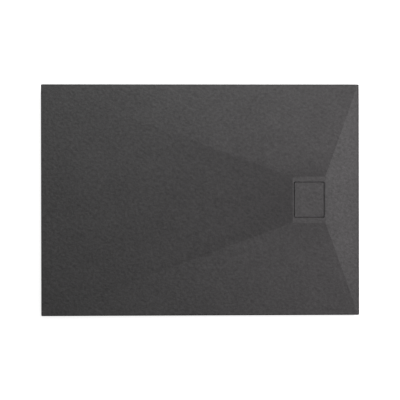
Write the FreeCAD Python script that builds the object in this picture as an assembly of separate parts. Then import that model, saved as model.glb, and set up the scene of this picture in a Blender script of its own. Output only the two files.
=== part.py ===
import FreeCAD, Part
import math
import os

# Shower tray: a cast mineral-resin slab with four facets that fall to a drain recess, a loose
# drain cover, and a 90 mm shower waste with a removable dip-tube trap hanging under the slab.
# Millimetres. The origin is the centre of the slab's underside, +X runs to the drain end, +Z up.

# ------------------------------------------------------------------ slab
tray_length = 1100.0
tray_width = 800.0
rim_height = 36.0
slab_corner_radius = 3.5
rim_round = 3.0             # rounding of the outer top edge
rim_land = 1.0              # flat strip between that rounding and the basin
base_bevel = 1.5

# ------------------------------------------------------------------ basin
basin_fall = 12.0           # from the rim down to the flat pan round the drain
rim_slope_share = 0.15      # slope of a facet at the rim, as a share of its mean slope
fall_power = 2.4            # how much steeper the facets grow towards the pan
basin_levels = 7            # level lines through which the facets are drawn
drain_to_end = 171.5        # drain centre to the nearer short end
pan_end_strip = 3.5         # flat strip left and right of the recess
pan_side_strip = 17.3       # flat strip in front of and behind the recess

# ------------------------------------------------------------------ drain cover and its recess
cover_length = 102.0
cover_width = 120.0
cover_thickness = 6.0
cover_corner_radius = 2.0
cover_edge_round = 1.0
cover_gap = 2.0             # all round, where the water runs in
cover_skin = 3.5            # plate over the hollow underside
cover_wall = 5.0
cover_rib_width = 3.0
cover_long_ribs = 2
cover_cross_ribs = 3
hollow_corner_radius = 1.5
foot_radius = 7.0
foot_inset = 8.5            # foot centre to the cover's edges
foot_drop = 3.5
pad_radius = 5.5
pad_thickness = 1.5
pad_stem_radius = 2.5
pad_stem_length = 4.0
pad_stem_clearance = 0.05
pad_stem_end_gap = 0.5
recess_corner_radius = 4.0
recess_edge_round = 1.0
recess_floor_round = 0.8

# ------------------------------------------------------------------ waste flange and its gasket
waste_hole_radius = 45.0
flange_radius = 50.0
flange_sheet = 1.5
flange_seat_clearance = 0.8
flange_hole_clearance = 0.6
flange_dish_depth = 3.0
flange_dish_taper = 1.4
flange_gasket_thickness = 1.0
gasket_hole_margin = 0.3
throat_radius = 30.0
throat_lip_depth = 3.5

# ------------------------------------------------------------------ flange screws and inserts
screw_count = 4
screw_circle_radius = 37.0
screw_first_angle = 45.0
screw_head_radius = 3.8
screw_head_height = 2.4
screw_head_round = 0.8
screw_shank_radius = 2.5
screw_shank_length = 14.0
screw_socket_width = 3.0    # across the flats of the hexagon in the head
screw_socket_depth = 1.3
screw_hole_clearance = 0.25
screw_thread_clearance = 0.05
screw_insert_wall = 0.9
screw_insert_length = 14.0
screw_insert_clearance = 0.05
screw_insert_end_gap = 0.5
boss_wall = 1.75

# ------------------------------------------------------------------ trap head and trap bowl
pocket_depth = 2.5          # shallow pocket in the slab's underside, over the head's flange
pocket_clearance = 4.0
body_gasket_thickness = 1.5
head_flange_radius = 58.0
head_flange_thickness = 4.0
collar_clearance = 0.5      # between the collar and the waste hole
collar_wall = 3.0
collar_top_gap = 0.5        # under the dish of the flange
sleeve_wall = 2.5           # of the sleeve, and of the floor round it
sleeve_bore_radius = 26.5
tube_seat_drop = 10.0       # the floor that carries the tube, under the lip of the flange
sleeve_length = 20.0        # below the seat
bowl_wall = 3.0
bowl_clearance = 2.5        # between the collar and the inside of the bowl
bowl_bottom_round = 12.0
bowl_floor_gap = 12.0       # under the dip tube
gusset_count = 8
gusset_thickness = 3.0
gusset_height = 14.0
gusset_toe = 2.0            # height of a gusset at its outer end
gusset_flange_margin = 1.5
fusing_depth = 1.0          # how far ribs and sockets run into the wall that carries them

# ------------------------------------------------------------------ dip tube, O-ring and strainer
water_seal = 50.0
lift_clearance = 0.4        # of what lifts out through the throat
tube_rim_thickness = 2.0
tube_collar_length = 15.0
tube_collar_clearance = 0.6
tube_collar_wall = 3.9
tube_radius = 20.0
tube_wall = 2.0
tube_taper_length = 10.0
lift_bar_width = 4.0
lift_bar_height = 5.0
ring_section_radius = 1.2
ring_drop = 9.0             # ring centre below the seat
ring_clearance = 0.15
ring_groove_clearance = 0.2
strainer_sheet = 1.0
strainer_rim_margin = 0.6   # strainer rim inside the rim of the tube
strainer_clearance = 0.6
strainer_depth = 11.0
strainer_hole_radius = 1.6
strainer_hole_circle_radii = (8.5, 13.2, 17.9)
strainer_hole_counts = (8, 14, 19)
strainer_slot_count = 12
strainer_slot_width = 2.5
strainer_slot_reach = 4.0   # length of the cutter across the wall
strainer_slot_height = 5.0
strainer_slot_sill = 2.0    # slots start this far above the underside of the basket
knob_stem_radius = 2.5
knob_head_radius = 6.0
knob_foot_radius = 4.0
knob_foot_height = 1.5
knob_height = 20.0
knob_head_height = 4.0
knob_edge_round = 1.5

# ------------------------------------------------------------------ outlet
outlet_drop = 32.0          # outlet axis below the slab's underside
pipe_radius = 20.0
pipe_wall = 1.8
pipe_free_length = 45.0     # spigot beyond the stop collar
pipe_stop_gap = 1.0         # between the nut and the stop collar
pipe_stop_width = 3.0
pipe_stop_height = 2.5
pipe_end_gap = 1.0
pipe_chamfer = 0.8
socket_clearance = 0.6
socket_wall = 3.4
socket_length = 28.0        # from the outside of the bowl to the socket's mouth
socket_depth = 22.0         # how far the wide bore runs in from the mouth
outlet_way_start_gap = 3.0  # the bore starts inside the bowl, this far from its wall
mouth_chamfer = 2.2
seal_pipe_clearance = 0.1
seal_cone_clearance = 0.3
seal_body_length = 3.5
seal_edge_margin = 0.4
slip_ring_thickness = 1.5
slip_ring_clearance = 0.3
nut_clearance = 0.3
nut_wall = 2.7
nut_length = 23.0
nut_end_wall = 3.0
nut_rib_count = 10
nut_rib_width = 3.5
nut_rib_height = 1.5
nut_edge_chamfer = 0.8

# ------------------------------------------------------------------ places worked out from the sizes
drain_x = tray_length / 2 - drain_to_end
pan_z = rim_height - basin_fall
recess_length = cover_length + 2 * cover_gap
recess_width = cover_width + 2 * cover_gap
pan_length = recess_length + 2 * pan_end_strip
pan_width = recess_width + 2 * pan_side_strip
cover_bottom_z = pan_z - cover_thickness
recess_floor_z = cover_bottom_z - foot_drop - pad_thickness
flange_seat_z = recess_floor_z - flange_sheet - flange_gasket_thickness
dish_top_z = recess_floor_z - flange_dish_depth
dish_bottom_z = dish_top_z - flange_sheet
lip_bottom_z = dish_bottom_z - throat_lip_depth
tube_seat_z = lip_bottom_z - tube_seat_drop
collar_top_z = dish_bottom_z - collar_top_gap
head_flange_top_z = pocket_depth - body_gasket_thickness
head_flange_bottom_z = head_flange_top_z - head_flange_thickness
outlet_z = -outlet_drop
tube_end_z = outlet_z - (pipe_radius - pipe_wall) - water_seal
bowl_floor_z = tube_end_z - bowl_floor_gap
tube_rim_top_z = tube_seat_z + tube_rim_thickness
strainer_floor_z = tube_rim_top_z + strainer_sheet - strainer_depth
insert_outer_radius = screw_shank_radius + screw_thread_clearance + screw_insert_wall
boss_radius = insert_outer_radius + screw_insert_clearance + boss_wall
collar_radius = waste_hole_radius - collar_clearance
bowl_radius = collar_radius + bowl_clearance + bowl_wall
outlet_way_start = bowl_radius - bowl_wall - outlet_way_start_gap
tube_rim_radius = throat_radius - lift_clearance
tube_collar_radius = sleeve_bore_radius - tube_collar_clearance
tube_collar_bore = tube_collar_radius - tube_collar_wall
ring_centre_radius = sleeve_bore_radius - ring_clearance - ring_section_radius
ring_z = tube_seat_z - ring_drop
socket_bore_radius = pipe_radius + socket_clearance
socket_radius = socket_bore_radius + socket_wall
mouth_x = bowl_radius + socket_length
seal_end_x = mouth_x + seal_body_length
slip_ring_end_x = seal_end_x + slip_ring_thickness
nut_end_x = slip_ring_end_x + nut_end_wall
pipe_start_x = mouth_x - socket_depth + pipe_end_gap
pipe_stop_x = nut_end_x + pipe_stop_gap
pipe_end_x = pipe_stop_x + pipe_stop_width + pipe_free_length

drain = FreeCAD.Vector(drain_x, 0, 0)
outlet_origin = FreeCAD.Vector(drain_x, 0, outlet_z)
across = FreeCAD.Vector(1, 0, 0)
up = FreeCAD.Vector(0, 0, 1)


# ------------------------------------------------------------------ plain building steps
def block(centre, length, width, low_z, high_z):
    """Upright box, length along X and width along Y, centred on a point in plan."""
    corner = FreeCAD.Vector(centre.x - length / 2, centre.y - width / 2, low_z)
    return Part.makeBox(length, width, high_z - low_z, corner)


def rounded_block(centre, length, width, low_z, high_z, radius):
    """The same box with its four upright edges rounded."""
    shape = block(centre, length, width, low_z, high_z)
    upright = [edge for edge in shape.Edges if is_upright(edge)]
    return shape.makeFillet(radius, upright)


def is_upright(edge):
    first, last = edge.Vertexes[0].Point, edge.Vertexes[-1].Point
    return abs(first.x - last.x) < 1e-6 and abs(first.y - last.y) < 1e-6


def edges_at(shape, level):
    """Edges that lie wholly in the horizontal plane at a height."""
    return [edge for edge in shape.Edges
            if abs(edge.BoundBox.ZMin - level) < 1e-4 and abs(edge.BoundBox.ZMax - level) < 1e-4]


def disc(radius, low_z, high_z, centre=drain):
    base = FreeCAD.Vector(centre.x, centre.y, low_z)
    return Part.makeCylinder(radius, high_z - low_z, base)


def ring(outer_radius, inner_radius, low_z, high_z):
    return disc(outer_radius, low_z, high_z).cut(disc(inner_radius, low_z, high_z))


def turned_upright(outline):
    """Solid of revolution about the drain's axis, from (radius, height) points."""
    points = [FreeCAD.Vector(drain_x + radius, 0, height) for radius, height in outline]
    face = Part.Face(Part.makePolygon(points + points[:1]))
    return face.revolve(drain, up, 360)


def turned_outlet(outline):
    """Solid of revolution about the outlet's axis, from (distance from the drain, radius) points."""
    points = [outlet_origin + FreeCAD.Vector(along, 0, radius) for along, radius in outline]
    face = Part.Face(Part.makePolygon(points + points[:1]))
    return face.revolve(outlet_origin, across, 360)


def spun_copies(shape, count, axis_point, axis, first_angle=0.0):
    """Copies of a shape, evenly spaced by turning it about an axis."""
    copies = []
    for index in range(count):
        copy = shape.copy()
        copy.rotate(axis_point, axis, first_angle + index * 360.0 / count)
        copies.append(copy)
    return copies


def save(shape, node):
    if not shape.isValid():
        raise ValueError(node + " is not a valid solid")
    os.makedirs("parts", exist_ok=True)
    shape.exportStep("parts/" + node + ".step")
    print(node, len(shape.Solids), "solid(s)", round(shape.Volume / 1000, 2), "cm3")


# ------------------------------------------------------------------ slab
def fall_at(share):
    """Share of the basin's fall reached at a share of the way from the rim to the pan."""
    return rim_slope_share * share + (1 - rim_slope_share) * share ** fall_power


def level_line(share):
    """Rectangle of equal height, between the edge of the rim (share 0) and the pan (share 1)."""
    margin = rim_round + rim_land
    end_low = (margin - tray_length / 2) * (1 - share) + (drain_x - pan_length / 2) * share
    end_high = (tray_length / 2 - margin) * (1 - share) + (drain_x + pan_length / 2) * share
    side = (tray_width / 2 - margin) * (1 - share) + pan_width / 2 * share
    height = rim_height - basin_fall * fall_at(share)
    corners = [FreeCAD.Vector(end_low, -side, height), FreeCAD.Vector(end_high, -side, height),
               FreeCAD.Vector(end_high, side, height), FreeCAD.Vector(end_low, side, height)]
    return Part.makePolygon(corners + corners[:1])


def basin():
    """Room above the four facets, lofted through the level lines."""
    lines = [level_line(index / (basin_levels - 1)) for index in range(basin_levels)]
    return Part.makeLoft(lines, True, False)


def recess():
    room = rounded_block(drain, recess_length, recess_width, recess_floor_z, rim_height,
                         recess_corner_radius)
    return room.makeFillet(recess_floor_round, edges_at(room, recess_floor_z))


def tray_slab():
    centre = FreeCAD.Vector(0, 0, 0)
    slab = rounded_block(centre, tray_length, tray_width, 0, rim_height, slab_corner_radius)
    slab = slab.makeFillet(rim_round, edges_at(slab, rim_height))
    slab = slab.makeChamfer(base_bevel, edges_at(slab, 0))
    slab = slab.cut(basin())
    slab = slab.cut(recess())
    mouth = [edge for edge in edges_at(slab, pan_z) if is_recess_edge(edge)]
    slab = slab.makeFillet(recess_edge_round, mouth)
    slab = slab.cut(disc(flange_radius + flange_seat_clearance, flange_seat_z, recess_floor_z))
    slab = slab.cut(disc(waste_hole_radius, 0, flange_seat_z))
    return slab.cut(disc(head_flange_radius + pocket_clearance, 0, pocket_depth))


def is_recess_edge(edge):
    box = edge.BoundBox
    slack = 0.01
    return (box.XMin > drain_x - recess_length / 2 - slack
            and box.XMax < drain_x + recess_length / 2 + slack
            and box.YMin > -recess_width / 2 - slack
            and box.YMax < recess_width / 2 + slack)


# ------------------------------------------------------------------ drain cover
def foot_places():
    along = cover_length / 2 - foot_inset
    aside = cover_width / 2 - foot_inset
    return [FreeCAD.Vector(drain_x + i * along, j * aside, 0) for i in (-1, 1) for j in (-1, 1)]


def cover_hollows():
    """Pockets in the underside, left between the cover's wall and its crossing ribs."""
    inner_length = cover_length - 2 * cover_wall
    inner_width = cover_width - 2 * cover_wall
    cell_length = (inner_length - cover_cross_ribs * cover_rib_width) / (cover_cross_ribs + 1)
    cell_width = (inner_width - cover_long_ribs * cover_rib_width) / (cover_long_ribs + 1)
    high_z = pan_z - cover_skin
    cells = []
    for i in range(cover_cross_ribs + 1):
        for j in range(cover_long_ribs + 1):
            x = drain_x - inner_length / 2 + cell_length / 2 + i * (cell_length + cover_rib_width)
            y = -inner_width / 2 + cell_width / 2 + j * (cell_width + cover_rib_width)
            cells.append(rounded_block(FreeCAD.Vector(x, y, 0), cell_length, cell_width,
                                       cover_bottom_z, high_z, hollow_corner_radius))
    return cells


def drain_cover():
    plate = rounded_block(drain, cover_length, cover_width, cover_bottom_z, pan_z,
                          cover_corner_radius)
    plate = plate.makeFillet(cover_edge_round, edges_at(plate, pan_z))
    plate = plate.cut(cover_hollows())
    foot_z = cover_bottom_z - foot_drop
    feet = [disc(foot_radius, foot_z, pan_z - cover_skin + fusing_depth, place)
            for place in foot_places()]
    plate = plate.fuse(feet).removeSplitter()
    stem_hole_radius = pad_stem_radius + pad_stem_clearance
    hole_top = foot_z + pad_stem_length + pad_stem_end_gap
    return plate.cut([disc(stem_hole_radius, foot_z, hole_top, place) for place in foot_places()])


def cover_pads():
    foot_z = cover_bottom_z - foot_drop
    pads = []
    for place in foot_places():
        pad = disc(pad_radius, recess_floor_z, foot_z, place)
        stem = disc(pad_stem_radius, foot_z, foot_z + pad_stem_length, place)
        pads.append(pad.fuse(stem))
    return Part.makeCompound(pads)


# ------------------------------------------------------------------ flange, gaskets and screws
def screw_places():
    first = FreeCAD.Vector(drain_x + screw_circle_radius, 0, 0)
    turned = spun_copies(Part.Vertex(first), screw_count, drain, up, screw_first_angle)
    return [vertex.Point for vertex in turned]


def waste_flange():
    """Pressed ring: flat rim in the seat, dished floor for the screws, lip round the throat."""
    outer_mouth = waste_hole_radius - flange_hole_clearance
    outer_floor = outer_mouth - flange_dish_taper
    outline = [(flange_radius, recess_floor_z),
               (outer_mouth - flange_sheet, recess_floor_z),
               (outer_floor - flange_sheet, dish_top_z),
               (throat_radius, dish_top_z),
               (throat_radius, lip_bottom_z),
               (throat_radius + flange_sheet, lip_bottom_z),
               (throat_radius + flange_sheet, dish_bottom_z),
               (outer_floor, dish_bottom_z),
               (outer_mouth, recess_floor_z - flange_sheet),
               (flange_radius, recess_floor_z - flange_sheet)]
    hole_radius = screw_shank_radius + screw_hole_clearance
    holes = [disc(hole_radius, dish_bottom_z, dish_top_z, place) for place in screw_places()]
    return turned_upright(outline).cut(holes)


def flange_gasket():
    return ring(flange_radius, waste_hole_radius + gasket_hole_margin,
                flange_seat_z, flange_seat_z + flange_gasket_thickness)


def body_gasket():
    return ring(head_flange_radius, waste_hole_radius + gasket_hole_margin,
                head_flange_top_z, pocket_depth)


def flange_screws():
    screws = []
    for place in screw_places():
        head_top = dish_top_z + screw_head_height
        head = disc(screw_head_radius, dish_top_z, head_top, place)
        head = head.makeFillet(screw_head_round, edges_at(head, head_top))
        head = head.fuse(disc(screw_shank_radius, dish_top_z - screw_shank_length, dish_top_z, place))
        screws.append(head.cut(hexagon(place, head_top - screw_socket_depth, head_top)))
    return Part.makeCompound(screws)


def hexagon(place, low_z, high_z):
    corner_radius = screw_socket_width / math.sqrt(3)
    corners = []
    for index in range(6):
        angle = math.radians(60 * index)
        corners.append(FreeCAD.Vector(place.x + corner_radius * math.cos(angle),
                                      place.y + corner_radius * math.sin(angle), low_z))
    face = Part.Face(Part.makePolygon(corners + corners[:1]))
    return face.extrude(FreeCAD.Vector(0, 0, high_z - low_z))


def screw_inserts():
    bore = screw_shank_radius + screw_thread_clearance
    sleeves = []
    for place in screw_places():
        low_z = collar_top_z - screw_insert_length
        sleeve = disc(insert_outer_radius, low_z, collar_top_z, place)
        sleeves.append(sleeve.cut(disc(bore, low_z, collar_top_z, place)))
    return Part.makeCompound(sleeves)


# ------------------------------------------------------------------ trap bowl
def bowl_outside():
    bowl = disc(bowl_radius, bowl_floor_z - bowl_wall, head_flange_bottom_z)
    return bowl.makeFillet(bowl_bottom_round, edges_at(bowl, bowl_floor_z - bowl_wall))


def bowl_inside():
    room = disc(bowl_radius - bowl_wall, bowl_floor_z, head_flange_bottom_z)
    return room.makeFillet(bowl_bottom_round - bowl_wall, edges_at(room, bowl_floor_z))


def gussets():
    """Upright ribs round the bowl's rim that brace the head's flange, none over the outlet."""
    inner = drain_x + bowl_radius - fusing_depth
    outer = drain_x + head_flange_radius - gusset_flange_margin
    top = head_flange_bottom_z
    corners = [FreeCAD.Vector(inner, -gusset_thickness / 2, top),
               FreeCAD.Vector(outer, -gusset_thickness / 2, top),
               FreeCAD.Vector(outer, -gusset_thickness / 2, top - gusset_toe),
               FreeCAD.Vector(inner, -gusset_thickness / 2, top - gusset_height)]
    face = Part.Face(Part.makePolygon(corners + corners[:1]))
    rib = face.extrude(FreeCAD.Vector(0, gusset_thickness, 0))
    return spun_copies(rib, gusset_count, drain, up, 180.0 / gusset_count)


def outlet_socket():
    wall_x = bowl_radius - fusing_depth
    return turned_outlet([(wall_x, 0), (mouth_x, 0), (mouth_x, socket_radius),
                          (wall_x, socket_radius)])


def outlet_way():
    """Bore through the bowl's wall and the socket, with the wide bore and the cone of the mouth."""
    step_x = mouth_x - socket_depth
    way_radius = pipe_radius - pipe_wall
    return turned_outlet([(outlet_way_start, 0), (mouth_x, 0),
                          (mouth_x, socket_bore_radius + mouth_chamfer),
                          (mouth_x - mouth_chamfer, socket_bore_radius),
                          (step_x, socket_bore_radius), (step_x, way_radius),
                          (outlet_way_start, way_radius)])


def trap_bowl():
    """Bowl that holds the water seal, welded by its rim to the underside of the head."""
    bowl = bowl_outside().fuse([outlet_socket()] + gussets())
    return bowl.cut([bowl_inside(), outlet_way()]).removeSplitter()


# ------------------------------------------------------------------ trap head
def trap_head():
    """Flange under the slab, collar in the waste hole, floor with the sleeve, and four bosses."""
    floor_bottom_z = tube_seat_z - sleeve_wall
    boss_bottom_z = collar_top_z - screw_insert_length - screw_insert_end_gap - boss_wall
    flange = disc(head_flange_radius, head_flange_bottom_z, head_flange_top_z)
    collar = disc(collar_radius, floor_bottom_z, collar_top_z)
    room = disc(collar_radius - collar_wall, tube_seat_z, collar_top_z)
    sleeve = disc(sleeve_bore_radius + sleeve_wall, tube_seat_z - sleeve_length, floor_bottom_z)
    bosses = [disc(boss_radius, boss_bottom_z, collar_top_z, place) for place in screw_places()]
    head = flange.fuse(collar).cut(room).fuse([sleeve] + bosses).removeSplitter()
    hole_radius = insert_outer_radius + screw_insert_clearance
    hole_bottom = boss_bottom_z + boss_wall
    holes = [disc(hole_radius, hole_bottom, collar_top_z, place) for place in screw_places()]
    bore = disc(sleeve_bore_radius, tube_seat_z - sleeve_length, tube_seat_z)
    return head.cut([bore] + holes)


# ------------------------------------------------------------------ dip tube, ring and strainer
def dip_tube():
    collar_end_z = tube_seat_z - tube_collar_length
    taper_end_z = collar_end_z - tube_taper_length
    groove_half = ring_section_radius + ring_groove_clearance
    groove_radius = ring_centre_radius - ring_section_radius - ring_groove_clearance / 2
    bore = tube_radius - tube_wall
    outline = [(tube_rim_radius, tube_rim_top_z), (tube_rim_radius, tube_seat_z),
               (tube_collar_radius, tube_seat_z),
               (tube_collar_radius, ring_z + groove_half), (groove_radius, ring_z + groove_half),
               (groove_radius, ring_z - groove_half), (tube_collar_radius, ring_z - groove_half),
               (tube_collar_radius, collar_end_z), (tube_radius, taper_end_z),
               (tube_radius, tube_end_z), (bore, tube_end_z), (bore, taper_end_z),
               (tube_collar_bore, collar_end_z), (tube_collar_bore, tube_rim_top_z)]
    tube = turned_upright(outline)
    bar = block(drain, lift_bar_width, 2 * tube_collar_bore + tube_collar_wall,
                collar_end_z, collar_end_z + lift_bar_height)
    return tube.fuse(bar).removeSplitter()


def dip_tube_o_ring():
    centre = FreeCAD.Vector(drain_x, 0, ring_z)
    return Part.makeTorus(ring_centre_radius, ring_section_radius, centre, up)


def hair_strainer():
    """Basket with a flat rim, three circles of holes in its floor and slots in its wall."""
    rim_radius = tube_rim_radius - strainer_rim_margin
    outer = tube_collar_bore - strainer_clearance
    inner = outer - strainer_sheet
    rim_top_z = tube_rim_top_z + strainer_sheet
    basket = turned_upright([(rim_radius, rim_top_z), (rim_radius, tube_rim_top_z),
                             (outer, tube_rim_top_z), (outer, strainer_floor_z),
                             (0, strainer_floor_z), (0, strainer_floor_z + strainer_sheet),
                             (inner, strainer_floor_z + strainer_sheet), (inner, rim_top_z)])
    holes = []
    for circle_radius, count in zip(strainer_hole_circle_radii, strainer_hole_counts):
        place = FreeCAD.Vector(drain_x + circle_radius, 0, 0)
        hole = disc(strainer_hole_radius, strainer_floor_z,
                    strainer_floor_z + strainer_sheet, place)
        holes += spun_copies(hole, count, drain, up)
    slot_low = strainer_floor_z + strainer_slot_sill
    slot = block(FreeCAD.Vector(drain_x + outer, 0, 0), strainer_slot_reach, strainer_slot_width,
                 slot_low, slot_low + strainer_slot_height)
    return basket.cut(holes + spun_copies(slot, strainer_slot_count, drain, up))


def strainer_knob():
    """Knob on a thin stem, standing on the floor of the basket."""
    foot_z = strainer_floor_z + strainer_sheet
    foot = disc(knob_foot_radius, foot_z, foot_z + knob_foot_height)
    stem = disc(knob_stem_radius, foot_z, foot_z + knob_height)
    head = disc(knob_head_radius, foot_z + knob_height - knob_head_height, foot_z + knob_height)
    head = head.makeFillet(knob_edge_round, edges_at(head, foot_z + knob_height))
    return foot.fuse([stem, head]).removeSplitter()


# ------------------------------------------------------------------ outlet joint
def outlet_tail():
    """Pipe stub with a stop collar: the drain pipe's socket is pushed on as far as the collar."""
    bore = pipe_radius - pipe_wall
    stop_end_x = pipe_stop_x + pipe_stop_width
    return turned_outlet([(pipe_start_x, bore), (pipe_start_x, pipe_radius - pipe_chamfer),
                          (pipe_start_x + pipe_chamfer, pipe_radius),
                          (pipe_stop_x, pipe_radius),
                          (pipe_stop_x, pipe_radius + pipe_stop_height),
                          (stop_end_x, pipe_radius + pipe_stop_height),
                          (stop_end_x, pipe_radius),
                          (pipe_end_x - pipe_chamfer, pipe_radius),
                          (pipe_end_x, pipe_radius - pipe_chamfer), (pipe_end_x, bore)])


def outlet_seal():
    """Rubber ring whose cone is pushed into the socket's chamfered mouth."""
    inner = pipe_radius + seal_pipe_clearance
    mouth_radius = socket_bore_radius + mouth_chamfer
    cone_end = mouth_radius - seal_cone_clearance
    cone_tip = socket_bore_radius - seal_cone_clearance
    outer = socket_radius - seal_edge_margin
    return turned_outlet([(mouth_x - mouth_chamfer, inner), (mouth_x - mouth_chamfer, cone_tip),
                          (mouth_x, cone_end), (mouth_x, outer), (seal_end_x, outer),
                          (seal_end_x, inner)])


def slip_ring():
    inner = pipe_radius + slip_ring_clearance
    outer = socket_radius - seal_edge_margin
    return turned_outlet([(seal_end_x, inner), (seal_end_x, outer),
                          (slip_ring_end_x, outer), (slip_ring_end_x, inner)])


def union_nut():
    """Nut that turns on the socket and presses the slip ring and the seal into its mouth."""
    start_x = nut_end_x - nut_length
    inner = socket_radius + nut_clearance
    outer = inner + nut_wall
    hole = pipe_radius + socket_clearance
    shell = turned_outlet([(start_x, inner), (start_x, outer - nut_edge_chamfer),
                           (start_x + nut_edge_chamfer, outer),
                           (nut_end_x - nut_edge_chamfer, outer),
                           (nut_end_x, outer - nut_edge_chamfer), (nut_end_x, hole),
                           (slip_ring_end_x, hole), (slip_ring_end_x, inner)])
    rib = Part.makeBox(nut_length - 2 * nut_edge_chamfer, nut_rib_width,
                       nut_rib_height + fusing_depth,
                       outlet_origin + FreeCAD.Vector(start_x + nut_edge_chamfer,
                                                      -nut_rib_width / 2, outer - fusing_depth))
    ribs = spun_copies(rib, nut_rib_count, outlet_origin, across)
    return shell.fuse(ribs).removeSplitter()


save(tray_slab(), "tray_slab")
save(drain_cover(), "drain_cover")
save(cover_pads(), "cover_pads")
save(waste_flange(), "waste_flange")
save(flange_gasket(), "flange_gasket")
save(flange_screws(), "flange_screws")
save(screw_inserts(), "screw_inserts")
save(body_gasket(), "body_gasket")
save(trap_head(), "trap_head")
save(trap_bowl(), "trap_bowl")
save(dip_tube(), "dip_tube")
save(dip_tube_o_ring(), "dip_tube_o_ring")
save(hair_strainer(), "hair_strainer")
save(strainer_knob(), "strainer_knob")
save(outlet_tail(), "outlet_tail")
save(outlet_seal(), "outlet_seal")
save(slip_ring(), "slip_ring")
save(union_nut(), "union_nut")
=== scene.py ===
import math

import bmesh
import bpy
from mathutils import Matrix, Vector, noise


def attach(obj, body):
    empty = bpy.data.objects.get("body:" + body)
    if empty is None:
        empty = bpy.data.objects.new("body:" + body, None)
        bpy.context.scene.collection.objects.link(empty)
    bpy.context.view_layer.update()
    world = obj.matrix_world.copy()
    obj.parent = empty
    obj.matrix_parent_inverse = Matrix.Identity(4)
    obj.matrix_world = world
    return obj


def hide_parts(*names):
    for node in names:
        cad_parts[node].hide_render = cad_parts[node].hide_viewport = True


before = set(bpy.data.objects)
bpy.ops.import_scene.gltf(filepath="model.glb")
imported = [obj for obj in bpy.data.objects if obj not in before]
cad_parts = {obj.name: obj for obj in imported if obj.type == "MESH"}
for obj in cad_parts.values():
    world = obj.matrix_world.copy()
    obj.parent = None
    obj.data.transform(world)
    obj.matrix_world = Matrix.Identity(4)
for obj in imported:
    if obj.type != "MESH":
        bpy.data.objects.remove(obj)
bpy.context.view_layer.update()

# Looks of a low shower tray with a slate relief and a flush drain cover. The tray's slab and the
# cover get finely divided top faces; the parts of the waste keep their shapes and get finishes.
# Metres. The origin is the centre of the slab's underside, +X runs to the drain end, +Z up.

mm = 0.001
scene = bpy.context.scene

# ------------------------------------------------------------------ sizes shared with the frame
drain_x = 378.5 * mm
rim_z = 36.0 * mm
pan_z = 24.0 * mm
basin_half_length = 546.0 * mm      # edge of the basin, inside the rim
basin_half_width = 396.0 * mm
rim_flat = 1.0 * mm                 # flat strip between the basin and the rounded outer edge
pan_low_x = 322.0 * mm              # flat pan round the drain
pan_high_x = 435.0 * mm
pan_half_width = 79.3 * mm
rim_slope_share = 0.15              # slope of a facet at the rim, as a share of its mean slope
fall_power = 2.4                    # how much steeper the facets grow towards the pan
recess_half_length = 53.0 * mm
recess_half_width = 62.0 * mm
recess_mouth_round = 1.0 * mm
cover_half_length = 51.0 * mm
cover_half_width = 60.0 * mm
cover_edge_round = 1.0 * mm

# ------------------------------------------------------------------ top faces and their relief
slab_cell = 3.1 * mm
cover_cell = 1.2 * mm
seam_margin = 0.8 * mm              # between a top face and the rounded edge that it joins
seam_slack = 0.002 * mm
slab_fade = 7.0 * mm                # the relief dies out towards a seam over this width
hole_fade = slab_fade / 3
cover_fade = 2.5 * mm
hole_half_length = recess_half_length + recess_mouth_round + seam_margin
hole_half_width = recess_half_width + recess_mouth_round + seam_margin
grain_angle = math.radians(-38.0)   # the slate's grain, turned from +X
grain_stretch = 1.2
layer_size = 46.0 * mm              # plates of slate that lie one over the other
layer_steps = 3.0
layer_height = 0.26 * mm
layer_noise = (0.9, 2.1, 4)         # falloff, spread and octaves
ripple_size = 11.0 * mm
ripple_height = 0.5 * mm
ripple_noise = (0.8, 2.3, 3)
ripple_shift = Vector((7.3, 1.9, 4.1))
pit_size = 8.0 * mm
pit_height = 0.24 * mm
pit_shift = Vector((2.7, 9.4, 1.3))
merge_distance = 0.001 * mm
cut_distance = 0.02 * mm            # points this near a cut are taken as lying on it
sharp_edge = math.radians(50)       # edges sharper than this stay sharp

# ------------------------------------------------------------------ tones of the slab: its slate colour, and painted light and shade
slate_tone = 0.0805
# the cover's slate, lighter than the slab's by the pan's painted highlight
cover_painted_highlight_tone = 0.087
rim_painted_shade = 0.62                     # painted shade of the rounded edge, against the rest of the slab
rim_painted_shade_from = rim_z - 2.9 * mm
# painted highlight on the flat pan round the drain
pan_painted_highlight = 1.08
pan_slack = 1e-6                    # a point this near the pan, as a share of a facet, lies on it
recess_painted_light = 1.6                   # painted light in the recess and the waste hole, which lightens their shade
facet_painted_shading = {                     # painted shade and light of each facet: at the rim, at the pan, and the power by which it changes
    "low_x": (1.0, 0.66, 1.6),
    "high_x": (1.19, 1.42, 0.5),
    "low_y": (1.0, 0.78, 3.0),
    "high_y": (1.01, 0.82, 6.0),
}


# ------------------------------------------------------------------ shape of the basin
def basin_shares(x, y):
    """How far a point lies from the rim (0) to the pan (1), along each of the four facets."""
    return {
        "low_x": (x + basin_half_length) / (basin_half_length + pan_low_x),
        "high_x": (basin_half_length - x) / (basin_half_length - pan_high_x),
        "low_y": (y + basin_half_width) / (basin_half_width - pan_half_width),
        "high_y": (basin_half_width - y) / (basin_half_width - pan_half_width),
    }


def basin_height(x, y):
    """Height of the basin's smooth floor."""
    share = min(1.0, max(0.0, min(basin_shares(x, y).values())))
    fall = rim_slope_share * share + (1 - rim_slope_share) * share ** fall_power
    return rim_z - (rim_z - pan_z) * fall


def painted_shading(x, y):
    """Painted light and shade at a point: each facet takes its own painted tone towards the pan,
    lighter or darker as light falls on it, and the pan gets a painted highlight.
    """
    shares = basin_shares(x, y)
    facet = min(shares, key=shares.get)
    share = shares[facet]
    if share < 0.0:
        return 1.0
    if share > 1.0 - pan_slack:
        return pan_painted_highlight
    tone_at_rim, tone_at_pan, tone_power = facet_painted_shading[facet]
    return tone_at_rim + (tone_at_pan - tone_at_rim) * share ** tone_power


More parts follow.
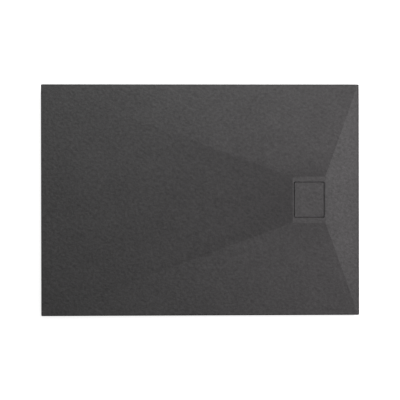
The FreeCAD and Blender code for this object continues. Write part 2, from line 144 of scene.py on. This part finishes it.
def painted_shading_off_basin(place):
    """Painted tone of the slab outside its four facets and the pan: painted shade on the rounded
    edge, painted light in the recess.
    """
    if place.z > rim_painted_shade_from:
        return rim_painted_shade
    in_recess = (abs(place.x - drain_x) < recess_half_length + seam_slack
                 and abs(place.y) < recess_half_width + seam_slack)
    return recess_painted_light if in_recess else 1.0


def smoothest(share):
    """Soft step from 0 to 1, level at both ends."""
    return share * share * share * (share * (6 * share - 15) + 10)


def slate_relief(x, y):
    """Height of the slate relief: broken plates, ripples along the grain and small pits."""
    along = x * math.cos(grain_angle) + y * math.sin(grain_angle)
    aside = y * math.cos(grain_angle) - x * math.sin(grain_angle)
    grain = Vector((along / grain_stretch, aside, 0.0))
    plates = noise.fractal(grain / layer_size, *layer_noise) * layer_steps
    step = math.floor(plates)
    plate_level = (step + smoothest(plates - step)) / layer_steps
    ripples = noise.fractal(grain / ripple_size + ripple_shift, *ripple_noise)
    pits = noise.noise(Vector((x, y, 0.0)) / pit_size + pit_shift)
    return plate_level * layer_height + ripples * ripple_height + pits * pit_height


def faded(distance, width):
    """Grows softly from 0 at a seam to 1 at a width from it."""
    share = min(1.0, max(0.0, distance / width))
    return share * share * (3 - 2 * share)


# ------------------------------------------------------------------ meshes of the two top faces
def merged_copy(node):
    """The node's mesh as a bmesh, with its loose triangles merged."""
    bm = bmesh.new()
    bm.from_mesh(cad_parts[node].data)
    bm.faces.layers.int.new("sheet")
    bmesh.ops.remove_doubles(bm, verts=bm.verts, dist=merge_distance)
    return bm


def remove_top(bm, low_z, centre_x, half_length, half_width):
    """Deletes the faces that lie above a height and inside a rectangle."""
    top = [face for face in bm.faces
           if all(vert.co.z > low_z - seam_slack
                  and abs(vert.co.x - centre_x) < half_length + seam_slack
                  and abs(vert.co.y) < half_width + seam_slack for vert in face.verts)]
    bmesh.ops.delete(bm, geom=top, context="FACES")


def add_sheet(bm, centre_x, half_length, half_width, cell):
    """Adds a flat grid of square cells, and marks its faces."""
    columns = round(2 * half_length / cell)
    rows = round(2 * half_width / cell)
    place = Matrix.Translation((centre_x, 0, 0)) @ Matrix.Diagonal((half_length, half_width, 1, 1))
    made = bmesh.ops.create_grid(bm, x_segments=columns, y_segments=rows, size=1.0, matrix=place)
    sheet = bm.faces.layers.int["sheet"]
    for vert in made["verts"]:
        for face in vert.link_faces:
            face[sheet] = 1


def sheet_faces(bm):
    sheet = bm.faces.layers.int["sheet"]
    return [face for face in bm.faces if face[sheet]]


def sheet_verts(bm):
    return {vert for face in sheet_faces(bm) for vert in face.verts}


def cut_line(bm, start, end, cell):
    """Cuts the sheet along a straight line in plan."""
    line = end - start
    length = line.length
    along = line / length
    aside = Vector((-along.y, along.x, 0))
    near = []
    for face in sheet_faces(bm):
        offset = face.calc_center_median() - start
        if abs(offset.dot(aside)) < 2 * cell and -cell < offset.dot(along) < length + cell:
            near.append(face)
    geometry = list({vert for face in near for vert in face.verts})
    geometry += list({edge for face in near for edge in face.edges})
    geometry += near
    bmesh.ops.bisect_plane(bm, geom=geometry, dist=cut_distance, plane_co=start, plane_no=aside)


def cut_rectangle(bm, low_x, high_x, half_width, cell):
    """Cuts the sheet along the four sides of a rectangle in plan."""
    corners = [Vector((low_x, -half_width, 0)), Vector((high_x, -half_width, 0)),
               Vector((high_x, half_width, 0)), Vector((low_x, half_width, 0))]
    for start, end in zip(corners, corners[1:] + corners[:1]):
        cut_line(bm, start, end, cell)


def close_seam(bm, height):
    """Bridges the two rings of open edges that lie at a height."""
    rings = [edge for edge in bm.edges if len(edge.link_faces) == 1
             and all(abs(vert.co.z - height) < seam_slack for vert in edge.verts)]
    bmesh.ops.bridge_loops(bm, edges=rings)


def finished_piece(name, bm, finish):
    """Makes the piece's object, smooth but for its sharp edges."""
    bmesh.ops.recalc_face_normals(bm, faces=bm.faces)
    for face in bm.faces:
        face.smooth = True
    for edge in bm.edges:
        edge.smooth = len(edge.link_faces) == 2 and edge.calc_face_angle(0.0) < sharp_edge
    mesh = bpy.data.meshes.new(name)
    bm.to_mesh(mesh)
    bm.free()
    mesh.materials.append(finish)
    piece = bpy.data.objects.new(name, mesh)
    scene.collection.objects.link(piece)
    return piece


def cut_mitres(bm):
    """Cuts the sheet where two facets meet, from the basin's corners to the pan's."""
    for side_x in (-1, 1):
        for side_y in (-1, 1):
            corner = Vector((side_x * basin_half_length, side_y * basin_half_width, 0))
            pan_corner = Vector((pan_high_x if side_x > 0 else pan_low_x,
                                 side_y * pan_half_width, 0))
            cut_line(bm, corner, pan_corner, slab_cell)


def cut_hole(bm):
    """Takes the sheet away over the recess."""
    cut_rectangle(bm, drain_x - hole_half_length, drain_x + hole_half_length, hole_half_width,
                  slab_cell)
    in_hole = [face for face in sheet_faces(bm)
               if abs(face.calc_center_median().x - drain_x) < hole_half_length
               and abs(face.calc_center_median().y) < hole_half_width]
    bmesh.ops.delete(bm, geom=in_hole, context="FACES")


def shape_slab(bm):
    """Lifts the sheet to the basin's floor with its relief, and stores the painted light and shade.
    """
    tone = bm.verts.layers.float.new("painted_shading")
    for vert in bm.verts:
        vert[tone] = painted_shading_off_basin(vert.co)
    for vert in sheet_verts(bm):
        x, y = vert.co.x, vert.co.y
        to_rim = min(basin_half_length - abs(x), basin_half_width - abs(y))
        to_hole = max(abs(x - drain_x) - hole_half_length, abs(y) - hole_half_width)
        fade = faded(to_rim, slab_fade) * faded(to_hole, hole_fade)
        vert.co.z = basin_height(x, y) + slate_relief(x, y) * fade
        vert[tone] = painted_shading(x, y)


def slate_slab(finish):
    """The tray's slab, with the relief on its four facets and on the pan round the drain."""
    bm = merged_copy("tray_slab")
    remove_top(bm, pan_z, 0.0, basin_half_length + rim_flat, basin_half_width + rim_flat)
    add_sheet(bm, 0.0, basin_half_length, basin_half_width, slab_cell)
    cut_mitres(bm)
    cut_rectangle(bm, pan_low_x, pan_high_x, pan_half_width, slab_cell)
    cut_hole(bm)
    shape_slab(bm)
    close_seam(bm, rim_z)
    close_seam(bm, pan_z)
    return finished_piece("slate_slab", bm, finish)


def slate_cover(finish):
    """The drain cover, with the same relief on its face."""
    bm = merged_copy("drain_cover")
    flat_half_length = cover_half_length - cover_edge_round
    flat_half_width = cover_half_width - cover_edge_round
    remove_top(bm, pan_z, drain_x, flat_half_length, flat_half_width)
    half_length = flat_half_length - seam_margin
    half_width = flat_half_width - seam_margin
    add_sheet(bm, drain_x, half_length, half_width, cover_cell)
    for vert in sheet_verts(bm):
        x, y = vert.co.x, vert.co.y
        to_edge = min(half_length - abs(x - drain_x), half_width - abs(y))
        vert.co.z = pan_z + slate_relief(x, y) * faded(to_edge, cover_fade)
    close_seam(bm, pan_z)
    return finished_piece("slate_cover", bm, finish)


# ------------------------------------------------------------------ finishes
noise_low = 0.3                     # range in which nearly all of a noise's values lie
noise_high = 0.7
mix_share_input = 0                 # sockets of a Mix node that mixes colours
mix_colour_inputs = (6, 7)
mix_colour_output = 2


class Finish:
    """A node material, built up by adding nodes and linking their sockets."""

    def __init__(self, name):
        self.material = bpy.data.materials.new(name)
        self.material.use_nodes = True
        self.tree = self.material.node_tree
        self.shader = self.tree.nodes["Principled BSDF"]
        self.position = self.add("ShaderNodeTexCoord").outputs["Object"]

    def add(self, kind, **settings):
        node = self.tree.nodes.new(kind)
        for key, value in settings.items():
            setattr(node, key, value)
        return node

    def put(self, socket, value):
        """Links an input to a socket, or sets it to a value."""
        if isinstance(value, bpy.types.NodeSocket):
            self.tree.links.new(value, socket)
        else:
            socket.default_value = value

    def feed(self, node, **inputs):
        """Links or sets a node's inputs by name."""
        for key, value in inputs.items():
            self.put(node.inputs[key.replace("_", " ")], value)

    def mapped(self, turn=(0, 0, 0), scale=(1, 1, 1), centre=(0, 0, 0)):
        """Object coordinates, moved to a centre, then turned and scaled."""
        moved = self.add("ShaderNodeVectorMath", operation="SUBTRACT")
        self.tree.links.new(self.position, moved.inputs[0])
        moved.inputs[1].default_value = centre
        node = self.add("ShaderNodeMapping")
        self.feed(node, Vector=moved.outputs[0], Rotation=turn, Scale=scale)
        return node.outputs[0]

    def noise(self, vector, scale, detail=3.0, roughness=0.5, distortion=0.0):
        node = self.add("ShaderNodeTexNoise")
        self.feed(node, Vector=vector, Scale=scale, Detail=detail, Roughness=roughness,
                  Distortion=distortion)
        return node.outputs["Fac"]

    def ranged(self, value, low_out, high_out, low_in=noise_low):
        """Maps a noise's range to a new range."""
        node = self.add("ShaderNodeMapRange")
        self.feed(node, Value=value, From_Min=low_in, From_Max=noise_high, To_Min=low_out,
                  To_Max=high_out)
        return node.outputs["Result"]

    def maths(self, operation, first, second=0.0):
        node = self.add("ShaderNodeMath", operation=operation)
        self.put(node.inputs[0], first)
        self.put(node.inputs[1], second)
        return node.outputs[0]

    def blend(self, share, first, second):
        """Colour between two colours."""
        node = self.add("ShaderNodeMix", data_type="RGBA")
        self.put(node.inputs[mix_share_input], share)
        self.put(node.inputs[mix_colour_inputs[0]], first)
        self.put(node.inputs[mix_colour_inputs[1]], second)
        return node.outputs[mix_colour_output]

    def bump(self, height, distance, strength=1.0):
        node = self.add("ShaderNodeBump")
        self.feed(node, Height=height, Distance=distance, Strength=strength)
        return node.outputs[0]

    def coat(self, **inputs):
        self.feed(self.shader, **inputs)
        return self.material


def grey(level):
    return (level, level, level, 1.0)


cloud_scale = 14.0                  # the slate's noises, in turns to the metre
bump_scale = 115.0
skin_scale = 620.0
slate_bump = 2.0 * mm
cloud_share = 0.2                   # of the slate's mottle; the rest comes from its bumps
bump_share = 0.8                    # of the slate's height; the rest comes from its rough skin
mottle_depth = 0.3
speck_depth = 0.14


def slate_finish(name, with_painted_shading, tone):
    """Matt gel coat over a slate relief: bumpy and finely mottled, with a rough skin."""
    finish = Finish(name)
    grain = finish.mapped(turn=(0, 0, -grain_angle), scale=(1 / grain_stretch, 1, 1))
    clouds = finish.noise(grain, cloud_scale)
    bumps = finish.noise(grain, bump_scale, detail=4.0, roughness=0.65, distortion=0.4)
    skin = finish.noise(finish.position, skin_scale, roughness=0.6)
    mottle = finish.maths("ADD", finish.maths("MULTIPLY", clouds, cloud_share),
                          finish.maths("MULTIPLY", bumps, 1 - cloud_share))
    level = finish.ranged(mottle, (1 - mottle_depth) * tone, (1 + mottle_depth) * tone)
    speck = finish.ranged(skin, 1 - speck_depth, 1 + speck_depth)
    level = finish.maths("MULTIPLY", level, speck)
    # the slab's painted light and shade: on its facets, pan, rounded edge and recess
    if with_painted_shading:
        painted_shading_node = finish.add("ShaderNodeAttribute", attribute_name="painted_shading")
        level = finish.maths("MULTIPLY", level, painted_shading_node.outputs["Fac"])
    colour = finish.add("ShaderNodeCombineColor")
    finish.feed(colour, Red=level, Green=level, Blue=level)
    height = finish.maths("ADD", finish.maths("MULTIPLY", bumps, bump_share),
                          finish.maths("MULTIPLY", skin, 1 - bump_share))
    return finish.coat(Base_Color=colour.outputs[0], Normal=finish.bump(height, slate_bump),
                       Roughness=finish.ranged(skin, 0.55, 0.7),
                       Specular_IOR_Level=0.3)


def moulded_finish(name, colour, roughness, flecks=0.04):
    """Moulded plastic: faint flow marks, a slightly uneven gloss and a fine orange peel."""
    finish = Finish(name)
    flow = finish.noise(finish.mapped(scale=(1, 1, 0.4)), 38.0)
    peel = finish.noise(finish.position, 700.0, detail=2.0)
    dark = tuple(value * (1 - flecks) for value in colour) + (1.0,)
    light = tuple(min(1.0, value * (1 + flecks)) for value in colour) + (1.0,)
    tint = finish.blend(finish.ranged(flow, 0, 1), dark, light)
    return finish.coat(Base_Color=tint, Normal=finish.bump(peel, 0.03 * mm, strength=0.5),
                       Roughness=finish.ranged(flow, roughness - 0.05, roughness + 0.06))


def rubber_finish(name, level, roughness):
    """Black rubber with a dusty bloom."""
    finish = Finish(name)
    bloom = finish.noise(finish.position, 160.0, detail=5.0, roughness=0.7)
    tint = finish.blend(finish.ranged(bloom, 0, 1, low_in=0.35), grey(level), grey(level * 1.7))
    return finish.coat(Base_Color=tint, Normal=finish.bump(bloom, 0.08 * mm, strength=0.6),
                       Roughness=finish.ranged(bloom, roughness - 0.06, roughness + 0.08))


def turned_finish(name, colour, roughness, rings=900.0):
    """Metal brushed in circles round the drain's axis."""
    finish = Finish(name)
    centred = finish.mapped(centre=(drain_x, 0, 0))
    apart = finish.add("ShaderNodeSeparateXYZ")
    finish.feed(apart, Vector=centred)
    radius = finish.maths("SQRT", finish.maths(
        "ADD", finish.maths("MULTIPLY", apart.outputs[0], apart.outputs[0]),
        finish.maths("MULTIPLY", apart.outputs[1], apart.outputs[1])))
    joined = finish.add("ShaderNodeCombineXYZ")
    finish.feed(joined, X=radius, Z=apart.outputs[2])
    brush = finish.noise(joined.outputs[0], rings, detail=4.0, roughness=0.7)
    smear = finish.noise(finish.position, 60.0)
    dark = tuple(value * 0.9 for value in colour) + (1.0,)
    tint = finish.blend(finish.ranged(brush, 0, 1), dark, colour + (1.0,))
    gloss = finish.maths("ADD", finish.ranged(brush, roughness - 0.06, roughness + 0.08),
                         finish.ranged(smear, -0.04, 0.05))
    return finish.coat(Base_Color=tint, Metallic=1.0, Roughness=gloss,
                       Normal=finish.bump(brush, 0.03 * mm, strength=0.5))


def dress(node, material):
    """Puts a finish in the material slots of one of the frame's nodes."""
    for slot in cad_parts[node].material_slots:
        slot.material = material


# ------------------------------------------------------------------ the tray's two slate pieces
slab = slate_slab(slate_finish("slab_slate", True, slate_tone))
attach(slab, "tray")
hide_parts("tray_slab")

cover = slate_cover(slate_finish("cover_slate", False, cover_painted_highlight_tone))
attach(cover, "cover")
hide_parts("drain_cover")

# ------------------------------------------------------------------ finishes of the waste's parts
dress("cover_pads", rubber_finish("pad_black", 0.02, 0.8))
dress("waste_flange", turned_finish("flange_brushed", (0.62, 0.63, 0.64), 0.3))
dress("flange_screws", turned_finish("screw_bright", (0.58, 0.59, 0.6), 0.28, 1500.0))
gasket_black = rubber_finish("gasket_black", 0.018, 0.75)
dress("flange_gasket", gasket_black)
dress("body_gasket", gasket_black)
dress("screw_inserts", turned_finish("insert_brass", (0.75, 0.52, 0.2), 0.3, 1500.0))
trap_white = moulded_finish("trap_white", (0.74, 0.74, 0.72), 0.42)
dress("trap_head", trap_white)
dress("trap_bowl", trap_white)
dress("dip_tube", moulded_finish("tube_white", (0.78, 0.78, 0.77), 0.34))
dress("dip_tube_o_ring", rubber_finish("ring_black", 0.016, 0.5))
dress("hair_strainer", turned_finish("strainer_brushed", (0.66, 0.67, 0.68), 0.26))
dress("strainer_knob", moulded_finish("knob_grey", (0.11, 0.115, 0.12), 0.36, 0.1))
dress("outlet_tail", moulded_finish("pipe_white", (0.7, 0.7, 0.69), 0.36))
dress("outlet_seal", rubber_finish("seal_black", 0.02, 0.72))
dress("slip_ring", moulded_finish("slip_white", (0.8, 0.8, 0.78), 0.45))
dress("union_nut", moulded_finish("nut_white", (0.76, 0.76, 0.74), 0.4))


# ------------------------------------------------------------------ floor, light and camera
floor_half = 12.0
opening_half = 120 * mm             # opening in the floor for the trap and its outlet
opening_x = 420 * mm
floor_tone = 0.85
floor_glow = 0.8                    # keeps the floor white in the picture, and lights nothing
sky_light = 0.203
ground_light = 0.068
horizon_low = -0.05
horizon_high = 0.25
light_target = (0.2, 0.1, 0.0)
near_place = (1.0, 0.0, 1.2)
near_size = 0.4
near_power = 6.6
near_tint = (1.07, 0.965, 1.015)
side_place = (0.0, 1.6, 1.2)
side_size = 0.6
side_power = 19.0
side_tint = (1.0, 1.0, 1.0)
camera_lens = 77.18                 # millimetres, on a sensor of the width below
camera_sensor = 36.0
camera_place = (-0.054, -0.0008, 3.0)
camera_turn = (0.0002, -0.0176, -0.00175)


def pale_floor():
    """Wide floor with an opening under the slab, where the trap hangs."""
    bm = bmesh.new()
    bmesh.ops.create_grid(bm, x_segments=1, y_segments=1, size=floor_half)
    bmesh.ops.inset_region(bm, faces=bm.faces, use_boundary=True, use_even_offset=True,
                           thickness=floor_half - opening_half)
    inner = [vert for vert in bm.verts if abs(vert.co.x) < floor_half / 2]
    bmesh.ops.translate(bm, verts=inner, vec=(opening_x, 0, 0))
    under = [face for face in bm.faces if all(vert in inner for vert in face.verts)]
    bmesh.ops.delete(bm, geom=under, context="FACES")
    mesh = bpy.data.meshes.new("floor")
    bm.to_mesh(mesh)
    bm.free()
    finish = Finish("floor_white")
    mesh.materials.append(finish.coat(Base_Color=grey(floor_tone), Roughness=0.9,
                                      Emission_Color=grey(1.0), Emission_Strength=floor_glow))
    floor = bpy.data.objects.new("floor", mesh)
    scene.collection.objects.link(floor)
    return floor


def soft_light(name, place, size, power, tint):
    """Square area light that faces the tray."""
    light = bpy.data.lights.new(name, "AREA")
    light.shape = "SQUARE"
    light.size = size
    light.energy = power
    light.color = tint
    lamp = bpy.data.objects.new(name, light)
    lamp.location = place
    lamp.rotation_euler = (Vector(light_target) - Vector(place)).to_track_quat("-Z", "Y").to_euler()
    lamp.visible_camera = False
    scene.collection.objects.link(lamp)


def bright_surround():
    """White studio behind the scene, and a soft sky that lights it and fades at the horizon."""
    world = bpy.data.worlds.new("studio")
    world.use_nodes = True
    tree = world.node_tree
    tree.nodes.clear()
    direction = tree.nodes.new("ShaderNodeTexCoord")
    apart = tree.nodes.new("ShaderNodeSeparateXYZ")
    tree.links.new(direction.outputs["Generated"], apart.inputs[0])
    fade = tree.nodes.new("ShaderNodeMapRange")
    fade.inputs["From Min"].default_value = horizon_low
    fade.inputs["From Max"].default_value = horizon_high
    fade.inputs["To Min"].default_value = ground_light
    fade.inputs["To Max"].default_value = sky_light
    tree.links.new(apart.outputs["Z"], fade.inputs["Value"])
    sky = tree.nodes.new("ShaderNodeBackground")
    tree.links.new(fade.outputs[0], sky.inputs["Strength"])
    backdrop = tree.nodes.new("ShaderNodeBackground")
    path = tree.nodes.new("ShaderNodeLightPath")
    mix = tree.nodes.new("ShaderNodeMixShader")
    tree.links.new(path.outputs["Is Camera Ray"], mix.inputs[0])
    tree.links.new(sky.outputs[0], mix.inputs[1])
    tree.links.new(backdrop.outputs[0], mix.inputs[2])
    output = tree.nodes.new("ShaderNodeOutputWorld")
    tree.links.new(mix.outputs[0], output.inputs["Surface"])
    for node in (sky, backdrop):
        node.inputs["Color"].default_value = grey(1.0)
    scene.world = world


floor = pale_floor()
floor.visible_diffuse = False
floor.visible_glossy = False
bright_surround()
soft_light("near", near_place, near_size, near_power, near_tint)
soft_light("side", side_place, side_size, side_power, side_tint)

camera = bpy.data.objects.new("camera", bpy.data.cameras.new("camera"))
camera.data.lens = camera_lens
camera.data.sensor_width = camera_sensor
camera.location = camera_place
camera.rotation_euler = camera_turn
scene.collection.objects.link(camera)
scene.camera = camera
scene.view_settings.view_transform = "Standard"
